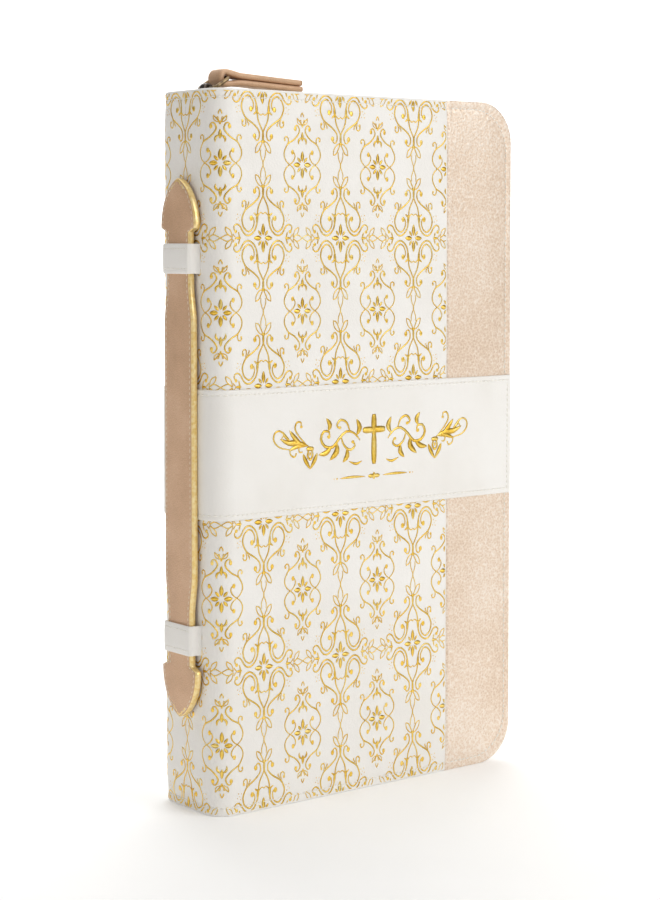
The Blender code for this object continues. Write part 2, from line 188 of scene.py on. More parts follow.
paper_sweep = Finish(
    "pale_paper_sweep", Roughness=0.9, Emission_Color=(1.0, 1.0, 1.0, 1.0), Emission_Strength=0.12,
)
grain = paper_sweep.noise(30.0)
paper_sweep.colours(grain, (0.3, (0.93, 0.93, 0.925)), (0.7, (0.95, 0.95, 0.945)))

FLOOR_REACH = 2.4
SWEEP_START = 1.2
SWEEP_RADIUS = 0.9


def grid(columns, rows):
    """A flat sheet with a vertex at each pair of stations along x and y."""
    sheet = bmesh.new()
    wide, tall = len(columns) - 1, len(rows) - 1
    bmesh.ops.create_grid(sheet, x_segments=wide, y_segments=tall, size=1.0)
    for vert in sheet.verts:
        column = round((vert.co.x + 1) / 2 * wide)
        row = round((vert.co.y + 1) / 2 * tall)
        vert.co = (columns[column], rows[row], 0.0)
    return sheet


def even(low, high, count):
    """Evenly spaced stations from low to high, both ends included."""
    return [low + (high - low) * step / count for step in range(count + 1)]


def as_mesh(shape, name):
    """Turns a shape into a mesh, and lets the shape go."""
    mesh = bpy.data.meshes.new(name)
    shape.to_mesh(mesh)
    shape.free()
    return mesh


def built(shape, name, finish, outward=None):
    """Makes an object of a shape. outward is a point behind an open sheet, which it faces away from."""
    if outward is None:
        bmesh.ops.recalc_face_normals(shape, faces=shape.faces)
    else:
        shape.normal_update()
        inside = Vector(outward)
        facing = sum(f.calc_area() * f.normal.dot(f.calc_center_median() - inside) for f in shape.faces)
        if facing < 0:
            bmesh.ops.reverse_faces(shape, faces=shape.faces)
    mesh = as_mesh(shape, name)
    mesh.materials.append(finish.material)
    mesh.polygons.foreach_set("use_smooth", [True] * len(mesh.polygons))
    piece = bpy.data.objects.new(name, mesh)
    bpy.context.scene.collection.objects.link(piece)
    return piece


def thicken(piece, thickness, offset):
    """Gives an open sheet its thickness; an offset of -1 grows it inwards, and 0 both ways."""
    wall = piece.modifiers.new("wall", "SOLIDIFY")
    wall.thickness = thickness
    wall.offset = offset


sweep = grid([-FLOOR_REACH, FLOOR_REACH], even(-FLOOR_REACH, FLOOR_REACH + 1.0, 60))
for vert in sweep.verts:
    past = vert.co.y - SWEEP_START
    if past > 0:
        turn = min(past / SWEEP_RADIUS, math.pi / 2)
        rest = past - turn * SWEEP_RADIUS
        vert.co.y = SWEEP_START + SWEEP_RADIUS * math.sin(turn)
        vert.co.z = SWEEP_RADIUS * (1 - math.cos(turn)) + rest
bmesh.ops.rotate(sweep, verts=sweep.verts, cent=(0, 0, 0), matrix=Matrix.Rotation(CAMERA_TURN, 3, "Z"))
floor = built(sweep, "floor", paper_sweep, outward=(0, 0, -50))

# ---------------------------------------------------------------------------------------------
# The white skin: a sheet of soft leatherette over each cover, wrapped round the spine and turned
# under at its edges. It is padded, and drawn down where the perimeter stitches run.

spine_low, spine_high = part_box("spine_skin")
FACE = spine_low.x
HALF = spine_high.y
HEIGHT = spine_high.z
RADIUS = 0.008
FLAT_HALF = HALF - RADIUS
CORNER_LENGTH = math.pi / 2 * RADIUS
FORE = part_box("front_edge_panel")[1].x
PANEL_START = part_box("front_edge_panel")[0].x
FORE_RADIUS = 0.020
CORE = (0.07, 0.0, HEIGHT / 2)
ROLL = 0.0009
TUCK = 0.0020
STITCH_INSET = 0.0032
STITCH_DIP = 0.00022
DIP_WIDTH = 0.0007
PLUMP = 0.00032
PLUMP_REACH = 0.005
SKIN_WAVE = 0.00010
SKIN_STEP = 0.0016
BEND_START = 0.0078
BEND_END = 0.0112
CREASE_MARGIN = 0.0006
SKIN_LAP = 0.0002


def around(way, s, z, lift):
    """A point on the cover. s runs from the spine's middle, round its corner, along one face."""
    if s <= FLAT_HALF:
        return Vector((FACE - lift, way * s, z))
    if s <= FLAT_HALF + CORNER_LENGTH:
        turn = (s - FLAT_HALF) / RADIUS
        reach = RADIUS + lift
        y = FLAT_HALF + reach * math.sin(turn)
        return Vector((FACE + RADIUS - reach * math.cos(turn), way * y, z))
    return Vector((FACE + RADIUS + s - FLAT_HALF - CORNER_LENGTH, way * (HALF + lift), z))


def s_at(x):
    """Where a place on a face, given by its x, lies along s."""
    return x - FACE - RADIUS + FLAT_HALF + CORNER_LENGTH


def edge_distance(s, z):
    """How far a point of the closed cover is from its outline."""
    x = s + FACE + RADIUS - FLAT_HALF - CORNER_LENGTH
    near_z = min(z, HEIGHT - z)
    side = FORE - x
    if side < FORE_RADIUS and near_z < FORE_RADIUS:
        return FORE_RADIUS - math.hypot(FORE_RADIUS - side, FORE_RADIUS - near_z)
    return min(side, near_z)


def padding(s, z, way):
    """How far the padded skin stands off its flat face."""
    edge = edge_distance(s, z)
    past = edge - STITCH_INSET
    dip = STITCH_DIP * math.exp(-((past / DIP_WIDTH) ** 2))
    plump = PLUMP * (1 - math.exp(-((past / PLUMP_REACH) ** 2))) if past > 0 else 0.0
    wave = SKIN_WAVE * noise.noise((s * 28, z * 28, 5.0 * way))
    return plump - dip + wave * min(max(past / PLUMP_REACH, 0.0), 1.0)


SEAM_SHARES = (0.44, 0.59, 0.72, 0.84, 0.94, 1.06, 1.16, 1.34, 1.6, 2.0)


def stations(low, high, roll, step, seam, turn_low=True, turn_high=True):
    """Places across a sheet, close together where its edges are turned under and at its seams."""
    under = math.pi * roll + TUCK
    first = [low + roll - under + TUCK * i / 2 for i in range(2)]
    first += [low + roll - math.pi * roll * (1 - i / 8) for i in range(8)]
    last = [high - roll + math.pi * roll * i / 8 for i in range(1, 9)]
    last += [high - roll + math.pi * roll + TUCK * i / 2 for i in range(1, 3)]
    near = [seam * share for share in SEAM_SHARES]
    inner_low = low + near[-1] if turn_low else low
    inner_high = high - near[-1] if turn_high else high
    middle = even(inner_low, inner_high, max(1, round((inner_high - inner_low) / step)))
    first += [low + roll, *[low + inset for inset in near[:-1]]]
    last = [*[high - inset for inset in near[-2::-1]], high - roll, *last]
    return (first if turn_low else []) + middle + (last if turn_high else [])


def turned(v, low, high, roll, turn_low=True, turn_high=True):
    """Where a station ends up once the edges are turned under: its place and its depth."""
    if turn_high and v > high - roll:
        past = v - (high - roll)
        turn = min(past / roll, math.pi)
        return high - roll + roll * math.sin(turn) - (past - turn * roll), roll * (1 - math.cos(turn))
    if turn_low and v < low + roll:
        past = (low + roll) - v
        turn = min(past / roll, math.pi)
        return low + roll - roll * math.sin(turn) + (past - turn * roll), roll * (1 - math.cos(turn))
    return v, 0.0


def turned_sheet(way, s_span, z_span, lift, roll=ROLL, seam=STITCH_INSET, turn_s=(False, True)):
    """A sheet laid on the cover with its edges turned under. lift(s, z) is how far it stands off."""
    crease = even(s_at(BEND_START - CREASE_MARGIN), s_at(BEND_END + CREASE_MARGIN), 14)
    columns = sorted([*stations(*s_span, roll, SKIN_STEP, seam, *turn_s), *crease])
    rows = stations(*z_span, roll, SKIN_STEP, seam)
    shape = grid(columns, rows)
    for vert in shape.verts:
        s, depth_s = turned(vert.co.x, *s_span, roll, *turn_s)
        z, depth_z = turned(vert.co.y, *z_span, roll)
        depth = max(depth_s, depth_z)
        vert.co = around(way, s, z, lift(s, z) - depth)
    return shape


white_leatherette = Finish("white_leatherette", Roughness=0.5, Specular_IOR_Level=0.4, Sheen_Weight=0.12)
tone = white_leatherette.noise(40.0, 3.0)
white_leatherette.colours(
    tone, (0.25, (0.860, 0.835, 0.790)), (0.55, (0.900, 0.880, 0.845)), (0.8, (0.915, 0.900, 0.870)),
)
pebbles = white_leatherette.cells(1500.0)
fine = white_leatherette.noise(3500.0, 2.0)
white_leatherette.vary("Roughness", 0.44 + 0.14 * white_leatherette.noise(900.0))
white_leatherette.relief(pebbles * 0.6 + fine * 0.5, 0.00007)

COVERS = (("front", -1), ("back", 1))


def bend(piece):
    """Bakes the piece's placement into its mesh. The piece crosses from the spine to a cover."""
    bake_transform(piece)


for side, way in COVERS:
    shape = turned_sheet(
        way, (0.0, s_at(PANEL_START) + SKIN_LAP), (0.0, HEIGHT),
        lambda s, z: padding(s, z, way), turn_s=(False, False),
    )
    skin = built(shape, side + "_wrap", white_leatherette, outward=CORE)
    bend(skin)
    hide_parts("spine_skin", side + "_damask_skin")

# ---------------------------------------------------------------------------------------------
# The rose-gold panel down each fore-edge: leatherette with a pearl coat, cut with round corners,
# turned under all round and butted against the white skin.

rose_leatherette = Finish("rose_leatherette", Roughness=0.42, Coat_Weight=0.15, Coat_Roughness=0.35)
cloud = rose_leatherette.noise(26.0, 3.0)
crackle = rose_leatherette.cells(950.0)
speck = rose_leatherette.noise(1500.0, 2.0)
rose_leatherette.colours(
    cloud * 0.35 + speck * 0.45 + crackle * 0.25,
    (0.34, (0.680, 0.500, 0.365)), (0.50, (0.820, 0.660, 0.520)), (0.66, (0.930, 0.830, 0.730)),
)
rose_leatherette.vary("Metallic", 0.15 + 0.45 * speck)
rose_leatherette.vary("Roughness", 0.30 + 0.26 * speck)
rose_leatherette.relief(crackle * 0.7 + speck * 0.6, 0.00018)


def loft(loops, cap_first=True):
    """A skin over a row of closed loops of points, which all have the same count, closed at its end."""
    around_count = len(loops[0])
    shape = grid(range(around_count + 1), range(len(loops)))
    for vert in shape.verts:
        vert.co = loops[round(vert.co.y)][round(vert.co.x) % around_count]
    bmesh.ops.remove_doubles(shape, verts=shape.verts, dist=1e-6)
    for end in (loops[0], loops[-1]) if cap_first else (loops[-1],):
        points = [Vector(point) for point in end]
        rim = [
            edge for edge in shape.edges
            if edge.is_boundary and all(min((v.co - p).length for p in points) < 2e-6 for v in edge.verts)
        ]
        bmesh.ops.holes_fill(shape, edges=rim, sides=0)
    return shape


def arc(x, z, radius, start, end, steps):
    """Points round part of a circle, between two angles in degrees."""
    turns = [math.radians(a) for a in even(start, end, steps)]
    return [(x + radius * math.cos(a), z + radius * math.sin(a)) for a in turns]


def panel_loop(inset):
    """The panel's outline, an inset inside it: two round corners at the fore-edge."""
    x0, x1, z0, z1 = PANEL_START + inset, FORE - inset, inset, HEIGHT - inset
    r = min(max(FORE_RADIUS - inset, 0.0005), (x1 - x0) * 0.45)
    foot = [(x, z0) for x in even(x0, x1 - r, 10)[:-1]]
    head = [(x, z1) for x in even(x1 - r, x0, 10)[1:]]
    side = [(x1, z) for z in even(z0 + r, z1 - r, 60)[1:-1]]
    seam = [(x0, z) for z in even(z1, z0, 60)[1:-1]]
    lower = arc(x1 - r, z0 + r, r, -90, 0, 14)
    upper = arc(x1 - r, z1 - r, r, 0, 90, 14)
    return foot + lower + side + upper + head + seam


PANEL_CENTRE_INSET = 0.0120
PANEL_INSETS = [*[STITCH_INSET * share for share in SEAM_SHARES], 0.0080, 0.0100]
for side, way in COVERS:
    loops = []
    for step in range(8, -1, -1):
        turn = math.pi * step / 8
        inset = ROLL * (1 - math.sin(turn))
        drop = ROLL * (1 - math.cos(turn))
        loops.append([(x, way * (HALF - drop), z) for x, z in panel_loop(inset)])
    for inset in PANEL_INSETS:
        loops.append([
            (x, way * (HALF + padding(s_at(x), z, way)), z) for x, z in panel_loop(inset)
        ])
    loops.append([(x, way * (HALF + PLUMP), z) for x, z in panel_loop(PANEL_CENTRE_INSET)])
    panel = built(loft(loops, cap_first=False), side + "_rose_panel", rose_leatherette, outward=CORE)
    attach(panel, side + "_cover")
    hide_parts(side + "_edge_panel")

# ---------------------------------------------------------------------------------------------
# The band round the middle: a second strip of the white leatherette, sewn on over the skin and
# the panel, with its long edges turned under.

band_low, band_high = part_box("front_band")
BAND_LIFT = 0.00105
BAND_INSET = 0.0020
BAND_DIP = 0.00016
BAND_DIP_WIDTH = 0.0006
BAND_ROLL = 0.0005


def band_lift(s, z):
    """How far the band stands off the cover's face."""
    past = min(z - band_low.z, band_high.z - z, s_at(band_high.x) - s) - BAND_INSET
    dip = BAND_DIP * math.exp(-((past / BAND_DIP_WIDTH) ** 2))
    return BAND_LIFT + max(padding(s, z, 1), 0.0) * 0.5 - dip + 0.00006 * noise.noise((s * 40, z * 40, 3.0))


for side, way in COVERS:
    shape = turned_sheet(
        way, (0.0, s_at(band_high.x)), (band_low.z, band_high.z), band_lift, BAND_ROLL, BAND_INSET,
    )
    band = built(shape, side + "_middle_band", white_leatherette, outward=CORE)
    bend(band)
    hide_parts("spine_band", side + "_band")

# ---------------------------------------------------------------------------------------------
# Gold foil stamped into the white skin: a lattice of scroll medallions and smaller rings, each
# drawn as tapered strokes, mirrored four ways, and pressed almost flat.

gold_foil = Finish("gold_foil", Metallic=1.0, Roughness=0.3)
crinkle = gold_foil.noise(1300.0, 3.0)
patch = gold_foil.noise(160.0, 2.0)
gold_foil.colours(
    patch * 0.6 + crinkle * 0.4,
    (0.30, (0.74, 0.43, 0.040)), (0.50, (0.94, 0.63, 0.110)), (0.72, (1.00, 0.82, 0.330)),
)
gold_foil.vary("Roughness", 0.20 + 0.30 * crinkle)
gold_foil.relief(crinkle, 0.00005)

TILE_WIDE = 0.0368
TILE_TALL = 0.0549
HALF_WIDE = TILE_WIDE / 2
HALF_TALL = TILE_TALL / 2
FOIL_RISE = 0.00007
FOIL_BASE = 0.00003
LINE = 0.00030
THIN = 0.00018

# Strokes of one quarter of a motif: points in half tiles from its centre, then the
# half width at the middle of the stroke, and how much of it is left at its ends.
MEDALLION = [
    ([(.205, .655), (.177, .682), (.129, .682), (.092, .636), (.096, .573), (.148, .519), (.262, .459),
      (.383, .41), (.45, .371), (.502, .307), (.528, .24), (.494, .154), (.438, .112), (.368, .087),
      (.294, .108), (.241, .162), (.224, .218), (.245, .275)], LINE * 1.1, 0.7),
    ([(0, .69), (0, .64), (0, .58), (.045, .516), (.097, .452), (.129, .388), (.141, .318), (.152, .254),
      (.156, .204), (.178, .147), (.224, .094), (.291, .054), (.365, .035), (.449, .048), (.512, .091),
      (.563, .147), (.605, .174), (.654, .186), (.70, .174), (.727, .147), (.72, .115), (.69, .10)],
     LINE * 1.1, 0.7),
    ([(0, .70), (0, .64), (0, .56)], LINE * 1.6, 0.4),
    ([(.137, .34), (.15, .27), (.156, .20)], LINE * 1.9, 0.3),
    ([(.15, .29), (.19, .32), (.235, .34)], LINE * 1.2, 0.3),
    ([(.145, .285), (.12, .31), (.08, .336), (.045, .345), (0, .325)], THIN * 1.3, 0.7),
    ([(.445, .395), (.425, .45), (.435, .49), (.475, .502), (.515, .48), (.52, .445)], LINE * 0.9, 0.8),
    ([(.405, .42), (.36, .465), (.36, .495)], LINE * 0.9, 0.3),
    ([(0, .69), (.06, .77), (.11, .83), (.19, .855)], LINE * 0.9, 0.6),
    ([(.01, .69), (.10, .715), (.175, .78), (.195, .855)], LINE * 0.8, 0.6),
    ([(0, .98), (.035, .93), (.062, .87), (.055, .81)], LINE * 0.75, 0.6),
    ([(0, .972), (0, 1.0)], LINE, 0.8),
    ([(0, .685), (.012, .70), (0, .715)], LINE * 2.2, 0.5),
    ([(.76, .012), (.80, .10), (.865, .135), (.905, .142), (.885, .075), (.78, .008)], LINE * 0.7, 0.8),
    ([(.765, .005), (.82, .035), (.88, .042), (.94, .025), (1.0, .0)], LINE * 0.7, 0.8),
    ([(.575, 0), (.60, .045), (.615, .085)], LINE * 1.1, 0.2),
    ([(.55, 0), (.62, 0), (.70, 0)], LINE * 1.7, 0.15),
    ([(.69, .01), (.73, .035), (.75, .06)], LINE * 0.8, 0.4),
    ([(0, .035), (0, .11), (0, .20)], LINE * 2.9, 0.05),
    ([(.04, 0), (.13, 0), (.235, 0)], LINE * 3.2, 0.05),
    ([(.045, .03), (.085, .07), (.12, .104)], LINE * 1.7, 0.1),
]
# Round buds at the ends of curls: where, and half sizes in mm.
MEDALLION_BUDS = [
    (.294, .268, .88, 1.12), (.212, .630, .82, 1.08), (.683, .088, .70, .74), (.508, .432, .50, .66),
    (.64, .317, .22, .26), (.66, .254, .20, .24), (.59, .232, .24, .28), (.565, .31, .20, .22),
    (.615, .275, .16, .18),
]
RING = [
    ([(.339, .005), (.416, .048), (.465, .112), (.461, .176), (.421, .232), (.374, .279), (.30, .31),
      (.219, .339), (.138, .388), (.085, .438), (.076, .48), (.108, .523), (.149, .537), (.186, .52),
      (.188, .50)], LINE, 0.7),
    ([(.339, -.005), (.251, .034), (.20, .084), (.19, .126), (.215, .168)], LINE * 0.85, 0.7),
    ([(.374, .279), (.355, .325), (.373, .367), (.421, .378), (.46, .353), (.455, .33)], LINE * 0.85, 0.8),
    ([(0, .32), (0, .38), (0, .45)], LINE * 2.2, 0.1),
    ([(0, .375), (.066, .353), (.097, .318), (.092, .275)], LINE * 1.5, 0.15),
    ([(0, .54), (.03, .57), (.04, .61), (.075, .60)], THIN, 0.8),
    ([(.012, .535), (.06, .585), (.134, .636)], LINE * 0.8, 0.6),
    ([(.03, .54), (.115, .57), (.134, .636)], LINE * 0.65, 0.6),
    ([(0, .715), (.03, .675), (.034, .65)], LINE * 0.8, 0.5),
    ([(0, .042), (0, .11), (0, .19)], LINE * 2.7, 0.05),
    ([(.05, 0), (.13, 0), (.225, 0)], LINE * 3.2, 0.05),
    ([(.04, .03), (.08, .065), (.125, .10)], LINE * 1.9, 0.1),
]
RING_BUDS = [(.254, .170, .72, 1.0), (.184, .488, .68, .98), (.448, .333, .42, .56), (0, .525, .40, .46)]


def flowing(points, steps=3):
    """A smooth line through given points."""
    ends = [points[0], *points, points[-1]]
    line = []
    for before, here, there, after in zip(ends, ends[1:], ends[2:], ends[3:]):
        for step in range(steps):
            t = step / steps
            line.append(tuple(
                0.5 * (2 * q + (r - p) * t + (2 * p - 5 * q + 4 * r - w) * t * t
                       + (3 * q - p - 3 * r + w) * t * t * t)
                for p, q, r, w in zip(before, here, there, after)
            ))
    return [*line, tuple(points[-1])]


ball = bmesh.new()
bmesh.ops.create_uvsphere(ball, u_segments=8, v_segments=5, radius=1.0)
BALL = as_mesh(ball, "ball")


def scattered(stamp, places):
    """A shape made of copies of one small mesh, one at each place."""
    shape = bmesh.new()
    for place in places:
        copy = stamp.copy()
        copy.transform(place)
        shape.from_mesh(copy)
        bpy.data.meshes.remove(copy)
    return shape


def from_curve(curve):
    """A welded shape of a curve with a round section."""
    maker = bpy.data.objects.new("line", curve)
    bpy.context.scene.collection.objects.link(maker)
    bpy.context.view_layer.update()
    mesh = bpy.data.meshes.new_from_object(maker.evaluated_get(bpy.context.evaluated_depsgraph_get()))
    bpy.data.objects.remove(maker, do_unlink=True)
    shape = bmesh.new()
    shape.from_mesh(mesh)
    bmesh.ops.remove_doubles(shape, verts=shape.verts, dist=1e-7)
    return shape


def pressed(strokes, buds, scale, quarters):
    """A flat mesh of tapered strokes and round buds, mirrored into two or four parts."""
    curve = bpy.data.curves.new("strokes", "CURVE")
    curve.dimensions = "3D"
    curve.twist_mode = "Z_UP"
    curve.bevel_depth = 1.0
    curve.bevel_resolution = 0
    curve.use_fill_caps = True
    signs = [(1, 1), (-1, 1), (1, -1), (-1, -1)][:quarters]
    places = []
    for right, up in signs:
        for points, width, end_share in strokes:
            on_axis_u = all(u == 0 for u, v in points)
            on_axis_v = all(v == 0 for u, v in points)
            if (on_axis_u and right < 0) or (on_axis_v and up < 0):
                continue
            line = flowing(points, 2 if len(points) > 8 else 3)
            spline = curve.splines.new("POLY")
            spline.points.add(len(line) - 1)
            for index, (point, (u, v)) in enumerate(zip(spline.points, line)):
                swell = math.sin(math.pi * index / (len(line) - 1)) ** (0.6 if end_share > 0.15 else 1.0)
                point.co = (right * u * scale[0], up * v * scale[1], 0.0, 1.0)
                point.radius = width * (end_share + (1 - end_share) * swell)
        for u, v, wide, tall in buds:
            if not ((u == 0 and right < 0) or (v == 0 and up < 0)):
                spot = Matrix.Translation((right * u * scale[0], up * v * scale[1], 0.0))
                places.append(spot @ Matrix.Diagonal((wide / 1000, tall / 1000, FOIL_RISE, 1.0)))
    shape = from_curve(curve)
    for vert in shape.verts:
        vert.co.z = max(-FOIL_RISE, min(FOIL_RISE, vert.co.z * 0.8))
    shape.from_mesh(as_mesh(scattered(BALL, places), "buds"))
    return as_mesh(shape, "stamped")


def lay(shape, way, lift):
    """Wraps a flat shape, whose x is s, y is height and z is thickness, onto the cover."""
    for vert in shape.verts:
        s, z, rise = vert.co
        vert.co = around(way, s, z, lift(s, z) + rise)


def trim(shape, place, normal):
    """Cuts a shape at a plane, drops what lies past it, and closes the cut."""
    parts = [*shape.verts, *shape.edges, *shape.faces]
    cut = bmesh.ops.bisect_plane(shape, geom=parts, plane_co=place, plane_no=normal, clear_outer=True)
    rims = [e for e in cut["geom_cut"] if isinstance(e, bmesh.types.BMEdge)]
    bmesh.ops.holes_fill(shape, edges=rims, sides=0)


MOTIFS = (
    (pressed(MEDALLION, MEDALLION_BUDS, (HALF_WIDE, HALF_TALL), 4), 0.0),
    (pressed(RING, RING_BUDS, (HALF_WIDE, HALF_TALL), 4), 0.5),
)
FOIL_MARGIN = 0.0003
FOLD_MARGIN = 0.0009
LOWER_START = 0.0015
damask_end = s_at(PANEL_START)
for side, way in COVERS:
    for level, low, high, first_row in (
        ("upper", band_high.z, HEIGHT - FOLD_MARGIN, HEIGHT),
        ("lower", FOLD_MARGIN, band_low.z, band_low.z - LOWER_START),
    ):
        foil = bmesh.new()
        for motif, offset in MOTIFS:
            places = []
            for column in range(4):
                for row in range(3):
                    centre = (TILE_WIDE * (column + offset), first_row - TILE_TALL * (row + offset), 0.0)
                    if centre[1] > low - HALF_TALL * 0.98:
                        places.append(Matrix.Translation(centre))
            foil.from_mesh(as_mesh(scattered(motif, places), "repeats"))
        trim(foil, (0, 0, 0), (-1, 0, 0))
        trim(foil, (damask_end - FOIL_MARGIN, 0, 0), (1, 0, 0))
        trim(foil, (0, high, 0), (0, 1, 0))
        trim(foil, (0, low, 0), (0, -1, 0))
        lay(foil, way, lambda s, z: padding(s, z, way) + FOIL_BASE)
        piece = built(foil, f"{side}_{level}_foil", gold_foil)
        bend(piece)

# ---------------------------------------------------------------------------------------------
# The foil ornament on the front band: a small plain cross among vine scrolls, with a leaf scroll
# and a drooping tulip at each end, and a thin divider under it.

ORNAMENT_X = 0.0735
ORNAMENT_RAISE = 0.0005
GILT_CENTRE = (s_at(ORNAMENT_X), (band_low.z + band_high.z) / 2 + ORNAMENT_RAISE)

# Strokes of the ornament's right half, in mm from its centre: the end scroll, then the vine, the
# cross and the divider.
END_SCROLL = [
    ([(40.7, 0), (45.8, 1.1), (48.6, 3.8), (48.2, 6.5), (46.0, 7.4), (44.0, 6.0), (45.0, 4.4)],
     LINE * 1.3, 0.4),
    ([(32.0, .8), (37.2, 2.4), (41.6, 2.6), (45.6, 4.3)], LINE * 4.0, 0.12),
    ([(35.4, 1.8), (38.6, 4.2), (41.3, 7.4)], LINE * 3.4, 0.05),
    ([(40.8, 3.2), (43.2, 5.2), (44.6, 7.2)], LINE * 2.2, 0.05),
    ([(35.0, 1.4), (38.2, .9), (41.6, -.4)], LINE * 2.8, 0.08),
    ([(33.2, 1.5), (36.8, 4.9), (38.6, 7.9), (37.6, 10.2), (35.8, 10.0), (35.8, 8.5)], LINE * 1.3, 0.5),
    ([(41.0, .1), (40.8, -1.8), (38.9, -2.9), (38.0, -1.6)], LINE * 1.2, 0.5),
    ([(33.6, .9), (36.7, .5), (36.4, -1.2), (35.0, -1.1)], LINE * 1.1, 0.6),
    ([(29.7, -.3), (31.4, -.1), (33.1, -.3)], LINE * 3.0, 0.6),
    ([(30.6, -.9), (30.2, -2.9), (31.4, -4.3), (32.6, -2.9), (32.2, -.9)], LINE * 1.6, 0.8),
    ([(28.0, -2.0), (29.2, -4.6), (31.4, -7.9)], LINE * 3.0, 0.15),
    ([(34.8, -2.0), (33.6, -4.6), (31.4, -7.9)], LINE * 3.0, 0.15),
]
VINE = [
    ([(7.0, 1.6), (10.0, 4.6), (13.8, 5.4), (17.4, 2.8), (20.4, -.2), (24.2, .2), (26.2, 3.2), (24.8, 6.0),
      (22.2, 5.6), (22.0, 3.6)], LINE * 2.1, 0.35),
    ([(12.0, 5.2), (13.6, 8.8), (16.6, 10.0), (18.4, 8.0), (17.0, 6.6)], LINE * 1.7, 0.4),
    ([(16.4, 3.6), (15.0, .2), (12.0, -1.8), (9.6, -.4), (10.6, 1.6)], LINE * 1.7, 0.4),
    ([(18.6, 1.4), (18.6, -2.2), (22.0, -5.2)], LINE * 4.4, 0.04),
    ([(8.8, 3.6), (7.2, 6.6), (8.8, 10.0)], LINE * 4.0, 0.04),
    ([(20.8, .4), (23.6, -2.2), (27.4, -2.8)], LINE * 3.8, 0.04),
    ([(22.8, 6.0), (21.8, 8.4), (23.6, 11.0)], LINE * 3.6, 0.04),
    ([(13.6, -1.2), (13.4, -4.0), (15.6, -6.4)], LINE * 3.8, 0.04),
    ([(6.0, -6.4), (9.0, -7.4), (12.6, -6.2)], LINE * 1.8, 0.1),
    ([(0, -8.0), (0, -2.0), (0, 4.0)], LINE * 4.6, 0.62),
    ([(0, 3.0), (0, 7.0), (0, 11.4)], LINE * 4.6, 0.62),
    ([(0, 5.4), (2.8, 5.4), (5.6, 5.4)], LINE * 4.4, 0.62),
    ([(4.4, -12.6), (11.0, -12.4), (17.0, -12.6)], LINE * 1.8, 0.1),
    ([(0, -14.0), (0, -12.6), (0, -11.2)], LINE * 3.4, 0.1),
    ([(0, -12.6), (1.6, -12.6), (3.0, -12.6)], LINE * 2.8, 0.1),
]
GILT_BUDS = [
    (35.6, 8.4, .7, .6), (38.1, -1.7, .45, .4), (22.4, 3.8, .9, .8), (17.0, 7.0, .8, .7),
    (10.6, 1.2, .8, .7), (18.4, -12.6, .4, .4), (19.8, -12.6, .25, .25), (31.4, -2.2, .5, .8),
]
gilt = bmesh.new()
gilt.from_mesh(pressed(END_SCROLL + VINE, GILT_BUDS, (0.001, 0.001), 2))
bmesh.ops.translate(gilt, verts=gilt.verts, vec=(*GILT_CENTRE, 0.0))
lay(gilt, -1, lambda s, z: band_lift(s, z) + FOIL_BASE)
ornament = built(gilt, "band_ornament", gold_foil)
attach(ornament, "front_cover")

# ---------------------------------------------------------------------------------------------
# Sewing thread: waxed cream lockstitches sunk in the dips of the skin, the panel and the band.

cream_thread = Finish("cream_thread", Roughness=0.6, Sheen_Weight=0.2)
twist = cream_thread.noise(2600.0)
cream_thread.colours(twist, (0.3, (0.84, 0.80, 0.72)), (0.7, (0.97, 0.95, 0.90)))
cream_thread.relief(twist, 0.00005)

capsule = bmesh.new()
bmesh.ops.create_uvsphere(capsule, u_segments=6, v_segments=5, radius=1.0)
bmesh.ops.rotate(capsule, verts=capsule.verts, cent=(0, 0, 0), matrix=Matrix.Rotation(math.pi / 2, 3, "Y"))
CAPSULE = as_mesh(capsule, "capsule")
STITCH_PITCH = 0.0021
STITCH_LENGTH = 0.0016
THREAD = 0.00025
THREAD_RISE = THREAD * 0.3


def stitches(routes, pitch=STITCH_PITCH, length=STITCH_LENGTH, thread=THREAD):
    """Flat rows of small stitches along routes of points."""
    places = []
    for route in routes:
        left = pitch / 2
        for (x0, y0), (x1, y1) in zip(route, route[1:]):
            run = math.hypot(x1 - x0, y1 - y0)
            turn = math.atan2(y1 - y0, x1 - x0)
            while left <= run:
                share = left / run
                spot = Matrix.Translation((x0 + (x1 - x0) * share, y0 + (y1 - y0) * share, 0.0))
                stretch = Matrix.Diagonal((length / 2, thread, thread, 1.0))
                places.append(spot @ Matrix.Rotation(turn + 0.07, 4, "Z") @ stretch)
                left += pitch
            left -= run
    return scattered(CAPSULE, places)


def outline_route(inset, start):
    """The line round a cover's three open sides, an inset inside its outline, from the spine."""
    x1, z0, z1, r = s_at(FORE) - inset, inset, HEIGHT - inset, FORE_RADIUS - inset
    upper = arc(x1 - r, z1 - r, r, 90, 0, 10)
    lower = arc(x1 - r, z0 + r, r, 0, -90, 10)
    return [(start, z1), *upper, *lower, (start, z0)]


for side, way in COVERS:
    row = stitches([outline_route(STITCH_INSET, 0.0)])
    lay(row, way, lambda s, z: padding(s, z, way) + THREAD_RISE)
    thread = built(row, side + "_edge_stitches", cream_thread)
    bend(thread)

    end = s_at(band_high.x) - BAND_INSET
    low, high = band_low.z + BAND_INSET, band_high.z - BAND_INSET
    row = stitches([[(0.0, high), (end, high), (end, low), (0.0, low)]])
    lay(row, way, lambda s, z: band_lift(s, z) + THREAD_RISE)
    thread = built(row, side + "_band_stitches", cream_thread)
    bend(thread)
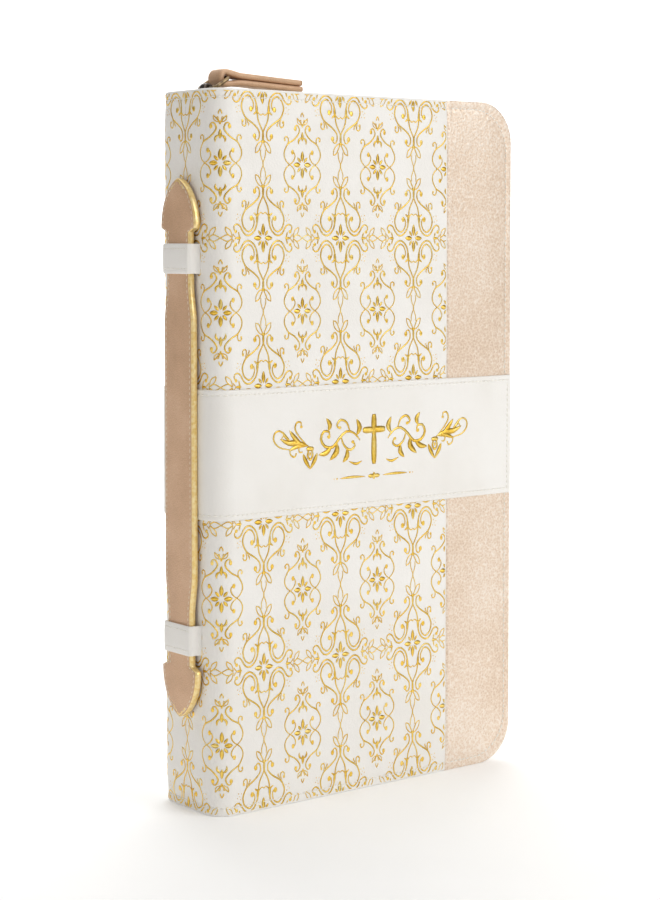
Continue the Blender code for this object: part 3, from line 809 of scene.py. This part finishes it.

# ---------------------------------------------------------------------------------------------
# The handle: two layers of pearl leather sewn together, with painted edges. It is one strap from
# head to head, built as two halves that meet at its middle.

rose_leather = Finish("rose_leather", Roughness=0.42, Coat_Weight=0.2, Coat_Roughness=0.3)
pores = rose_leather.cells(1900.0)
haze = rose_leather.noise(55.0, 3.0)
dust = rose_leather.noise(3600.0, 1.0)
rose_leather.colours(
    haze * 0.6 + dust * 0.4,
    (0.30, (0.530, 0.320, 0.182)), (0.52, (0.680, 0.430, 0.262)), (0.75, (0.800, 0.560, 0.385)),
)
rose_leather.vary("Metallic", 0.10 + 0.22 * dust)
rose_leather.vary("Roughness", 0.36 + 0.2 * pores)
rose_leather.relief(pores * 0.9 + dust * 0.4, 0.00010)

gilt_edge = Finish("gilt_edge_paint", Metallic=0.55, Roughness=0.32)
streak = gilt_edge.noise(700.0, 2.0)
gilt_edge.colours(streak, (0.3, (0.86, 0.60, 0.20)), (0.7, (1.0, 0.82, 0.44)))
gilt_edge.relief(streak, 0.00006)

grip_low, grip_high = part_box("handle_grip")
tip_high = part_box("handle_upper_end")[1].z
tip_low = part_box("handle_lower_end")[0].z
STRAP_MIDDLE = (tip_high + tip_low) / 2
STRAP_OUT, STRAP_IN = grip_low.x, grip_high.x
GRIP_HALF = 0.0185 / 2
NECK_HALF = 0.0150 / 2
HEAD_HALF = 0.0225 / 2
GRIP_REACH, NECK_START, NECK_END, HEAD_WIDEST = 0.0465, 0.0620, 0.0808, 0.0825
HEAD_TIP = tip_high - STRAP_MIDDLE
SEAM_INSET = 0.0016


def strap_half(reach):
    """Half the strap's width at a distance from its middle."""
    if reach <= GRIP_REACH:
        return GRIP_HALF
    if reach <= NECK_START:
        share = (reach - GRIP_REACH) / (NECK_START - GRIP_REACH)
        return GRIP_HALF + (NECK_HALF - GRIP_HALF) * share * share * (3 - 2 * share)
    if reach <= NECK_END:
        return NECK_HALF
    if reach <= HEAD_WIDEST:
        share = (reach - NECK_END) / (HEAD_WIDEST - NECK_END)
        return NECK_HALF + (HEAD_HALF - NECK_HALF) * share
    left = max(1 - (reach - HEAD_WIDEST) / (HEAD_TIP - HEAD_WIDEST), 0.001)
    return HEAD_HALF * math.sin(math.pi / 2 * min(left, 1.0) ** 0.65)


STRAP_EDGE = 0.0006
SEAM_DIP = 0.00018
SEAM_DIP_WIDTH = 0.0006
STRAP_CROWN = 0.00012
reaches = even(0.0, NECK_END - 0.0004, 50) + even(NECK_END, HEAD_WIDEST, 4)
reaches += [HEAD_TIP - (HEAD_TIP - HEAD_WIDEST) * (1 - share) ** 2 for share in even(0, 1, 28)[1:]]


def strap_section(reach, level):
    """The strap's closed section: two faces, slightly crowned, with rounded painted edges."""
    half = strap_half(reach)
    middle = (STRAP_OUT + STRAP_IN) / 2
    thick = (STRAP_IN - STRAP_OUT) / 2
    edge = min(STRAP_EDGE, half * 0.8)
    points = []
    for way_x, order in ((-1, 1), (1, -1)):
        for share in even(-1, 1, 10):
            y = order * share * (half - edge)
            dip = SEAM_DIP * math.exp(-(((half - abs(y)) - SEAM_INSET) / SEAM_DIP_WIDTH) ** 2)
            crown = STRAP_CROWN * (1 - share * share)
            points.append((middle + way_x * (thick - dip + crown), y, level))
        for turn in (30, 60, 90, 120, 150):
            a = math.radians(turn)
            x = middle + way_x * thick * math.cos(a)
            points.append((x, order * (half - edge + edge * math.sin(a)), level))
    return points


def strap_seam(way):
    """The stitch line round one half of the strap, as (y, z) points, from its middle to its tip."""
    line = []
    for reach in reaches:
        if reach > HEAD_TIP - 1.6 * SEAM_INSET:
            break
        line.append((strap_half(reach) - SEAM_INSET, STRAP_MIDDLE + way * reach))
    tip = (0.0, STRAP_MIDDLE + way * (HEAD_TIP - 1.3 * SEAM_INSET))
    return [*line, tip, *[(-y, z) for y, z in reversed(line)]]


gold_thread = Finish("champagne_thread", Roughness=0.5, Sheen_Weight=0.2)
ply = gold_thread.noise(2600.0)
gold_thread.colours(ply, (0.3, (0.74, 0.60, 0.44)), (0.7, (0.92, 0.82, 0.66)))
gold_thread.relief(ply, 0.00005)

TACK_REACH = 0.0850
TACK_HALF = 0.0052
TACK_ARM = 0.0007
EDGE_FACING = 0.975
SEAM_LIFT = 0.00012
for name, way in (("upper", 1), ("lower", -1)):
    loops = [strap_section(reach, STRAP_MIDDLE + way * reach) for reach in reaches]
    strap = built(loft(loops, cap_first=False), f"handle_{name}_half", rose_leather)
    strap.data.materials.append(gilt_edge.material)
    for polygon in strap.data.polygons:
        if abs(polygon.normal.x) < EDGE_FACING:
            polygon.material_index = 1
    # The crosses are bar tacks, sewn on the lower head only.
    crosses = [
        [(y + arm, STRAP_MIDDLE - TACK_REACH - TACK_ARM), (y - arm, STRAP_MIDDLE - TACK_REACH + TACK_ARM)]
        for y in (-TACK_HALF, TACK_HALF) for arm in (TACK_ARM, -TACK_ARM)
    ]
    row = stitches([strap_seam(way), *(crosses if way < 0 else [])])
    for vert in row.verts:
        y, z, rise = vert.co
        vert.co = (STRAP_OUT + SEAM_LIFT - rise, y, z)
    seam = built(row, f"handle_{name}_stitches", gold_thread)
    for piece in (strap, seam):
        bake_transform(piece)
    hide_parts("handle_grip", f"handle_{name}_end")

# ---------------------------------------------------------------------------------------------
# The two keepers: short folded strips of the white leatherette, sewn to the spine on both sides
# of the strap and bridging over it.

KEEPER_THICK = 0.0010
KEEPER_SEAM = 0.0018
KEEPER_LEG = NECK_HALF + 0.0008
for name in ("upper", "lower"):
    low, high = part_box(name + "_keeper")
    top = low.x + KEEPER_THICK / 2
    foot = high.x - KEEPER_THICK / 2
    path = [(foot, -high.y + 0.0003), (foot, -KEEPER_LEG - 0.0008), (foot - 0.0012, -KEEPER_LEG - 0.0002)]
    path += [(top + 0.0010, -KEEPER_LEG), (top + 0.0002, -KEEPER_LEG + 0.0007), (top, -KEEPER_LEG + 0.0016)]
    path += [(x, -y) for x, y in reversed(path)]
    line = flowing(path, 4)
    rows = even(low.z, high.z, 14)
    shape = grid(even(0, len(line) - 1, len(line) - 1), rows)
    for vert in shape.verts:
        x, y = line[round(vert.co.x)]
        level = vert.co.y
        inset = min(level - low.z, high.z - level)
        dip = SEAM_DIP * math.exp(-((inset - KEEPER_SEAM) / SEAM_DIP_WIDTH) ** 2)
        soft = 0.0003 * math.exp(-inset / 0.0005)
        vert.co = (x + dip + soft, y, level)
    keeper = built(shape, name + "_keeper_strip", white_leatherette, outward=CORE)
    thicken(keeper, KEEPER_THICK, 0.0)
    edge = keeper.modifiers.new("edge", "BEVEL")
    edge.width = 0.00032
    edge.segments = 2
    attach(keeper, "spine")
    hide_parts(name + "_keeper")
    levels = (low.z + KEEPER_SEAM, high.z - KEEPER_SEAM)
    row = stitches([[(-high.y + 0.0012, z), (high.y - 0.0012, z)] for z in levels], 0.0018, 0.0013)
    for vert in row.verts:
        y, level, rise = vert.co
        over = abs(y) < KEEPER_LEG - 0.0003
        base = low.x + SEAM_LIFT if over else high.x - KEEPER_THICK
        vert.co = (base - rise, y, level)
    seam = built(row, name + "_keeper_stitches", cream_thread)
    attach(seam, "spine")

# ---------------------------------------------------------------------------------------------
# The zip: two woven tapes that stand as a wall round the open sides, with a nylon coil on each.

woven_tape = Finish("woven_tape", Roughness=0.85, Sheen_Weight=0.2)
weave = woven_tape.node("TexWave", {"wave_type": "BANDS", "bands_direction": "Y", "sockets": {
    "Vector": woven_tape.place(), "Scale": 620.0, "Distortion": 0.4}}, out=1)
pick = woven_tape.noise(1800.0, 2.0)
woven_tape.colours(pick, (0.3, (0.70, 0.66, 0.58)), (0.7, (0.86, 0.83, 0.76)))
woven_tape.relief(weave * 0.6 + pick * 0.5, 0.00012)

nylon_coil = Finish("nylon_coil", Roughness=0.35)
nylon_coil.colours(nylon_coil.noise(400.0), (0.3, (0.80, 0.76, 0.67)), (0.7, (0.90, 0.87, 0.80)))
nylon_coil.relief(nylon_coil.noise(2500.0), 0.00003)

tape_low, tape_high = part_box("back_zip_tape")
teeth_low, teeth_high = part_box("back_zip_teeth")
TAPE_INSET = FORE - tape_high.x
TAPE_THICK = 0.00056
RUN_TOP = FORE - FORE_RADIUS - tape_low.x
RUN_RADIUS = FORE_RADIUS - TAPE_INSET
RUN_CORNER = math.pi / 2 * RUN_RADIUS
RUN_SIDE = HEIGHT - 2 * FORE_RADIUS
RUN_LENGTH = 2 * RUN_TOP + 2 * RUN_CORNER + RUN_SIDE


def along_zip(run, y, lift):
    """A point on the zip's wall: run goes from the top of the spine round to its foot."""
    x_corner = FORE - FORE_RADIUS
    if run < RUN_TOP:
        return Vector((tape_low.x + run, y, HEIGHT - TAPE_INSET + lift))
    run -= RUN_TOP
    if run < RUN_CORNER:
        turn = math.pi / 2 - run / RUN_RADIUS
        z = HEIGHT - FORE_RADIUS
    elif run < RUN_CORNER + RUN_SIDE:
        return Vector((FORE - TAPE_INSET + lift, y, HEIGHT - FORE_RADIUS - (run - RUN_CORNER)))
    elif run < 2 * RUN_CORNER + RUN_SIDE:
        turn = -(run - RUN_CORNER - RUN_SIDE) / RUN_RADIUS
        z = FORE_RADIUS
    else:
        run -= 2 * RUN_CORNER + RUN_SIDE
        return Vector((x_corner - run, y, TAPE_INSET - lift))
    reach = RUN_RADIUS + lift
    return Vector((x_corner + reach * math.cos(turn), y, z + reach * math.sin(turn)))


TOOTH_PITCH = 0.0019
TOOTH_WIRE = 0.00052
TOOTH_START = {"front": 0.0100, "back": 0.0032}
TOOTH_REACH = teeth_high.y / 2
TOOTH_GAP = 0.0002
TEETH_END = 0.006
TAPE_SEAM = 0.0052
TAPE_CORD = 0.00035
TAPE_SAG = 0.00015
for side, way in COVERS:
    shape = grid(even(0.0, RUN_LENGTH, 330), even(0.0, 1.0, 14))
    outer, inner = HALF - 0.0019, teeth_low.y + 0.0006
    for vert in shape.verts:
        run, share = vert.co.x, vert.co.y
        y = way * (outer + (inner - outer) * share)
        cord = TAPE_CORD * math.exp(-((share - 0.86) / 0.05) ** 2)
        sag = TAPE_SAG * noise.noise((run * 60, share * 3, way * 2.0)) * math.sin(math.pi * share)
        vert.co = along_zip(run, y, cord + sag)
    tape = built(shape, side + "_tape_wall", woven_tape, outward=CORE)
    thicken(tape, TAPE_THICK, -1.0)
    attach(tape, side + "_cover")
    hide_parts(side + "_zip_tape")

    places = []
    for index in range(int((RUN_LENGTH - TEETH_END - TOOTH_START[side]) / TOOTH_PITCH)):
        run = TOOTH_START[side] + TOOTH_PITCH * (index + (0.5 if way > 0 else 0.0))
        spot = Matrix.Translation((run, way * (TOOTH_REACH + TOOTH_GAP), 0.0001))
        size = Matrix.Diagonal((TOOTH_REACH, TOOTH_WIRE, TOOTH_WIRE * 1.2, 1.0))
        places.append(spot @ Matrix.Rotation(math.pi / 2, 4, "Z") @ size)
    coil = scattered(CAPSULE, places)
    for vert in coil.verts:
        vert.co = along_zip(*vert.co)
    teeth = built(coil, side + "_coil", nylon_coil)
    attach(teeth, side + "_cover")
    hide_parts(side + "_zip_teeth")

    seam = stitches([[(0.002, 0.0), (RUN_LENGTH - 0.002, 0.0)]], 0.0024, 0.0016, 0.00018)
    for vert in seam.verts:
        run, across, rise = vert.co
        vert.co = along_zip(run, way * (HALF - TAPE_SEAM) + across, 0.0001 + rise)
    thread = built(seam, side + "_tape_stitches", cream_thread)
    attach(thread, side + "_cover")

# ---------------------------------------------------------------------------------------------
# Metal: the dark plated slider with its bridge, the two bottom stops, and the brass wire ring.

dark_plate = Finish("dark_plate", Metallic=1.0, Roughness=0.3)
rub = dark_plate.noise(500.0, 3.0)
dark_plate.colours(rub, (0.35, (0.045, 0.038, 0.034)), (0.75, (0.17, 0.14, 0.12)))
dark_plate.vary("Roughness", 0.22 + 0.25 * rub)
dark_plate.relief(dark_plate.noise(1500.0), 0.00002)

old_brass = Finish("old_brass", Metallic=1.0, Roughness=0.3)
tarnish = old_brass.noise(600.0, 3.0)
old_brass.colours(tarnish, (0.3, (0.11, 0.075, 0.045)), (0.7, (0.42, 0.31, 0.17)))
old_brass.vary("Roughness", 0.25 + 0.25 * tarnish)
old_brass.relief(tarnish, 0.00002)


def softened(node, name, finish, radius, segments=2, body=None):
    """A copy of a solid with its sharp edges rounded off, which stands for it."""
    shape = bmesh.new()
    shape.from_mesh(frame["nodes"][node].data)
    bmesh.ops.remove_doubles(shape, verts=shape.verts, dist=2e-6)
    bmesh.ops.dissolve_limit(shape, angle_limit=math.radians(1), verts=shape.verts, edges=shape.edges)
    sharp = [e for e in shape.edges if e.is_manifold and e.calc_face_angle() > math.radians(40)]
    bmesh.ops.bevel(
        shape, geom=sharp, offset=radius, segments=segments, profile=0.5, affect="EDGES",
        clamp_overlap=True, material=-1,
    )
    bmesh.ops.triangulate(shape, faces=[f for f in shape.faces if len(f.verts) > 4])
    piece = built(shape, name, finish)
    piece.data.set_sharp_from_angle(angle=math.radians(35))
    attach(piece, body)
    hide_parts(node)
    return piece


slider = softened("zip_slider", "slider_casting", dark_plate, 0.00025, body="zip_slider")

# The post between the plates is thinned, to leave room for the teeth on both sides.
slider_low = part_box("zip_slider")[0]
PLATE, PLATE_GAP = 0.0012, 0.0030
POST_LENGTH, POST_REACH, POST_SQUEEZE = 0.0026, 0.0008, 0.08
for vert in slider.data.vertices:
    above_plate = vert.co.z - slider_low.z - PLATE
    in_gap = -1e-6 < above_plate < PLATE_GAP + 1e-6
    if in_gap and abs(vert.co.y) < POST_REACH and vert.co.x < slider_low.x + POST_LENGTH:
        vert.co.y *= POST_SQUEEZE
for side, way in COVERS:
    stop = side + "_zip_stop"
    softened(stop, side + "_stop_clip", dark_plate, 0.0004, body=side + "_cover")


def wire(name, route, radius, finish, body):
    """A closed round wire."""
    curve = bpy.data.curves.new(name, "CURVE")
    curve.dimensions = "3D"
    curve.bevel_depth = radius
    curve.bevel_resolution = 4
    spline = curve.splines.new("POLY")
    spline.points.add(len(route) - 1)
    for point, place in zip(spline.points, route):
        point.co = (*place, 1.0)
    spline.use_cyclic_u = True
    piece = built(from_curve(curve), name, finish)
    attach(piece, body)
    return piece


joints = {joint["name"]: joint for joint in frame["joints"]}
ring_at = Vector(joints["ring_hinge"]["pos_m"])
pull_at = Vector(joints["pull_hinge"]["pos_m"])
ring_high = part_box("pull_ring")[1]
RING_WIRE = 0.0008
RING_BEND = 0.0022
rise = (pull_at - ring_at).normalized()
ring_long = (pull_at - ring_at).length
ring_half = ring_high.y - RING_WIRE
flat_ring = [
    *arc(RING_BEND, -ring_half + RING_BEND, RING_BEND, 180, 270, 8),
    *arc(ring_long - RING_BEND, -ring_half + RING_BEND, RING_BEND, 270, 360, 8),
    *arc(ring_long - RING_BEND, ring_half - RING_BEND, RING_BEND, 0, 90, 8),
    *arc(RING_BEND, ring_half - RING_BEND, RING_BEND, 90, 180, 8),
]
route = [ring_at + rise * u + Vector((0, v, 0)) for u, v in flat_ring]
ring_wire = wire("ring_wire", route, RING_WIRE * 0.92, old_brass, "pull_ring")
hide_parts("pull_ring")

# ---------------------------------------------------------------------------------------------
# The pull: a strip of the pearl leather folded over the ring, so that its two rounded layers lie
# on each other.

pull_low, pull_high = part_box("leather_pull")
PULL_LAYER = 0.0024
PULL_HALF = (pull_high.y - pull_low.y) / 2
PULL_FALL = math.radians(2.5)
pull_long = pull_high.x - pull_at.x - 0.0004
fold = 0.00125 + PULL_LAYER / 2 - 0.0001
fold_turns = [math.radians(a) for a in (-110, -150, 180, 150, 110)]
folded = [(pull_long, -0.0012), (pull_long * 0.72, -0.0012), (pull_long * 0.42, -0.0012)]
folded += [(0.0065, -0.0013), (0.0030, -0.0019)]
folded += [(fold * math.cos(a), fold * math.sin(a)) for a in fold_turns]
folded += [(0.0030, 0.0019), (0.0065, 0.0014), (pull_long * 0.42, 0.0013)]
folded += [(pull_long * 0.72, 0.0012), (pull_long - 0.0003, 0.0012)]
line = flowing(folded, 5)


def pull_section(index):
    here = Vector(line[index])
    before, after = line[max(index - 1, 0)], line[min(index + 1, len(line) - 1)]
    along = (Vector(after) - Vector(before)).normalized()
    across = Vector((-along.y, along.x))
    points = []
    for turn in even(0, 360, 20)[:-1]:
        a = math.radians(turn)
        y = PULL_HALF * math.copysign(abs(math.cos(a)) ** 0.35, math.cos(a))
        t = PULL_LAYER / 2 * math.copysign(abs(math.sin(a)) ** 0.6, math.sin(a))
        u, v = here + across * t
        x = pull_at.x + u * math.cos(PULL_FALL) + v * math.sin(PULL_FALL)
        z = pull_at.z - u * math.sin(PULL_FALL) + v * math.cos(PULL_FALL)
        points.append((x, y, z))
    return points


pull = built(loft([pull_section(i) for i in range(len(line))]), "folded_pull", rose_leather)
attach(pull, "leather_pull")
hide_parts("leather_pull")

# ---------------------------------------------------------------------------------------------
# Inside the cover: stiff boards, an ivory lining glued over them, pockets for the book's own
# boards, and a strip of lining across each hinge.

ivory_lining = Finish("ivory_lining", Roughness=0.8, Sheen_Weight=0.25)
thread_x = ivory_lining.node("TexWave", {"bands_direction": "X", "sockets": {
    "Vector": ivory_lining.place(), "Scale": 420.0, "Distortion": 0.3}}, out=1)
thread_z = ivory_lining.node("TexWave", {"bands_direction": "Z", "sockets": {
    "Vector": ivory_lining.place(), "Scale": 420.0, "Distortion": 0.3}}, out=1)
slub = ivory_lining.noise(120.0, 3.0)
ivory_lining.colours(slub, (0.3, (0.73, 0.68, 0.59)), (0.7, (0.82, 0.77, 0.69)))
ivory_lining.relief(thread_x * 0.5 + thread_z * 0.5, 0.00010)

grey_board = Finish("grey_board", Roughness=0.9)
grey_board.colours(grey_board.noise(300.0, 4.0), (0.3, (0.26, 0.22, 0.17)), (0.7, (0.44, 0.38, 0.30)))
grey_board.relief(grey_board.noise(1200.0, 3.0), 0.0001)

for node, body in (
    ("spine_board", "spine"), ("front_board", "front_cover"), ("back_board", "back_cover"),
):
    softened(node, node + "_core", grey_board, 0.0003, body=body)
for node, body in (
    ("spine_lining", "spine"), ("front_lining", "front_cover"), ("back_lining", "back_cover"),
    ("front_sleeve", "front_cover"), ("back_sleeve", "back_cover"),
):
    softened(node, node + "_cloth", ivory_lining, 0.00035, body=body)
lining_depth = HALF - abs(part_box("front_lining")[0].y)
CLOTH_THICK = 0.0004
CLOTH_INSET = 0.0052
CLOTH_LAP = 0.006
for side, way in COVERS:
    columns = even(FLAT_HALF * 0.7, FLAT_HALF + CORNER_LENGTH + CLOTH_LAP, 48)
    shape = grid(columns, even(CLOTH_INSET, HEIGHT - CLOTH_INSET, 40))
    for vert in shape.verts:
        vert.co = around(way, vert.co.x, vert.co.y, -lining_depth - 0.0002)
    strip = built(shape, side + "_hinge_cloth", ivory_lining, outward=CORE)
    thicken(strip, CLOTH_THICK, -1.0)
    bend(strip)
for name in ("zip_tab_top", "zip_tab_bottom"):
    softened(name, name + "_fold", white_leatherette, 0.0006, 3, body="spine")

# ---------------------------------------------------------------------------------------------
# The bound book: brown boards and spine, thin cream pages with a grain of leaves at their edges,
# bronze head bands and a satin ribbon.

brown_cloth = Finish("brown_binding", Roughness=0.5)
hide = brown_cloth.cells(1100.0)
brown_cloth.colours(brown_cloth.noise(60.0, 3.0), (0.3, (0.085, 0.036, 0.020)), (0.7, (0.17, 0.080, 0.045)))
brown_cloth.relief(hide, 0.00010)

cream_pages = Finish("cream_pages", Roughness=0.75)
mapping = cream_pages.node("Mapping", {"sockets": {"Scale": (3.0, 2600.0, 3.0)}}, cream_pages.place())
leaf_lines = cream_pages.noise(1.0, 3.0, 0.7, where=mapping)
cream_pages.colours(
    leaf_lines, (0.30, (0.74, 0.67, 0.54)), (0.55, (0.84, 0.79, 0.68)), (0.8, (0.89, 0.86, 0.77)),
)
cream_pages.relief(leaf_lines, 0.00015)

bronze_satin = Finish("bronze_satin", Roughness=0.3, Sheen_Weight=0.4, Anisotropic=0.5)
sheen = bronze_satin.noise(90.0)
bronze_satin.colours(sheen, (0.3, (0.36, 0.20, 0.09)), (0.7, (0.58, 0.36, 0.18)))
bronze_satin.relief(bronze_satin.noise(2400.0), 0.00004)

for node, body in (
    ("front_book_board", "front_cover"), ("back_book_board", "back_cover"), ("book_spine", "spine"),
):
    softened(node, node + "_leather", brown_cloth, 0.0005, body=body)
for node, body in (("front_leaves", "front_leaves"), ("back_leaves", "back_leaves"), ("text_block", "spine")):
    softened(node, node + "_paper", cream_pages, 0.0003, body=body)
for node in ("head_band", "tail_band"):
    softened(node, node + "_cord", bronze_satin, 0.0003, body="spine")
ribbon_low, ribbon_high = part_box("ribbon_marker")
RIBBON_THICK = 0.00022
RIBBON_NOTCH = 0.003
shape = grid(even(0, 1, 6), even(0, 1, 80))
for vert in shape.verts:
    across, up = vert.co.x, vert.co.y
    drift = 0.0016 * math.sin(up * 5.0)
    lean = 0.00008 * math.sin(across * 6.0 + up * 9.0)
    x = ribbon_low.x + (ribbon_high.x - ribbon_low.x) * across + drift
    notch = RIBBON_NOTCH * (1 - abs(2 * across - 1)) * (1 - up) ** 12
    z = ribbon_low.z + (ribbon_high.z - ribbon_low.z) * up + notch
    vert.co = (x, (ribbon_low.y + ribbon_high.y) / 2 + lean, z)
ribbon = built(shape, "ribbon_strip", bronze_satin, outward=(0.03, 0.01, 0.13))
thicken(ribbon, RIBBON_THICK, 0.0)
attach(ribbon, "spine")
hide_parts("ribbon_marker")
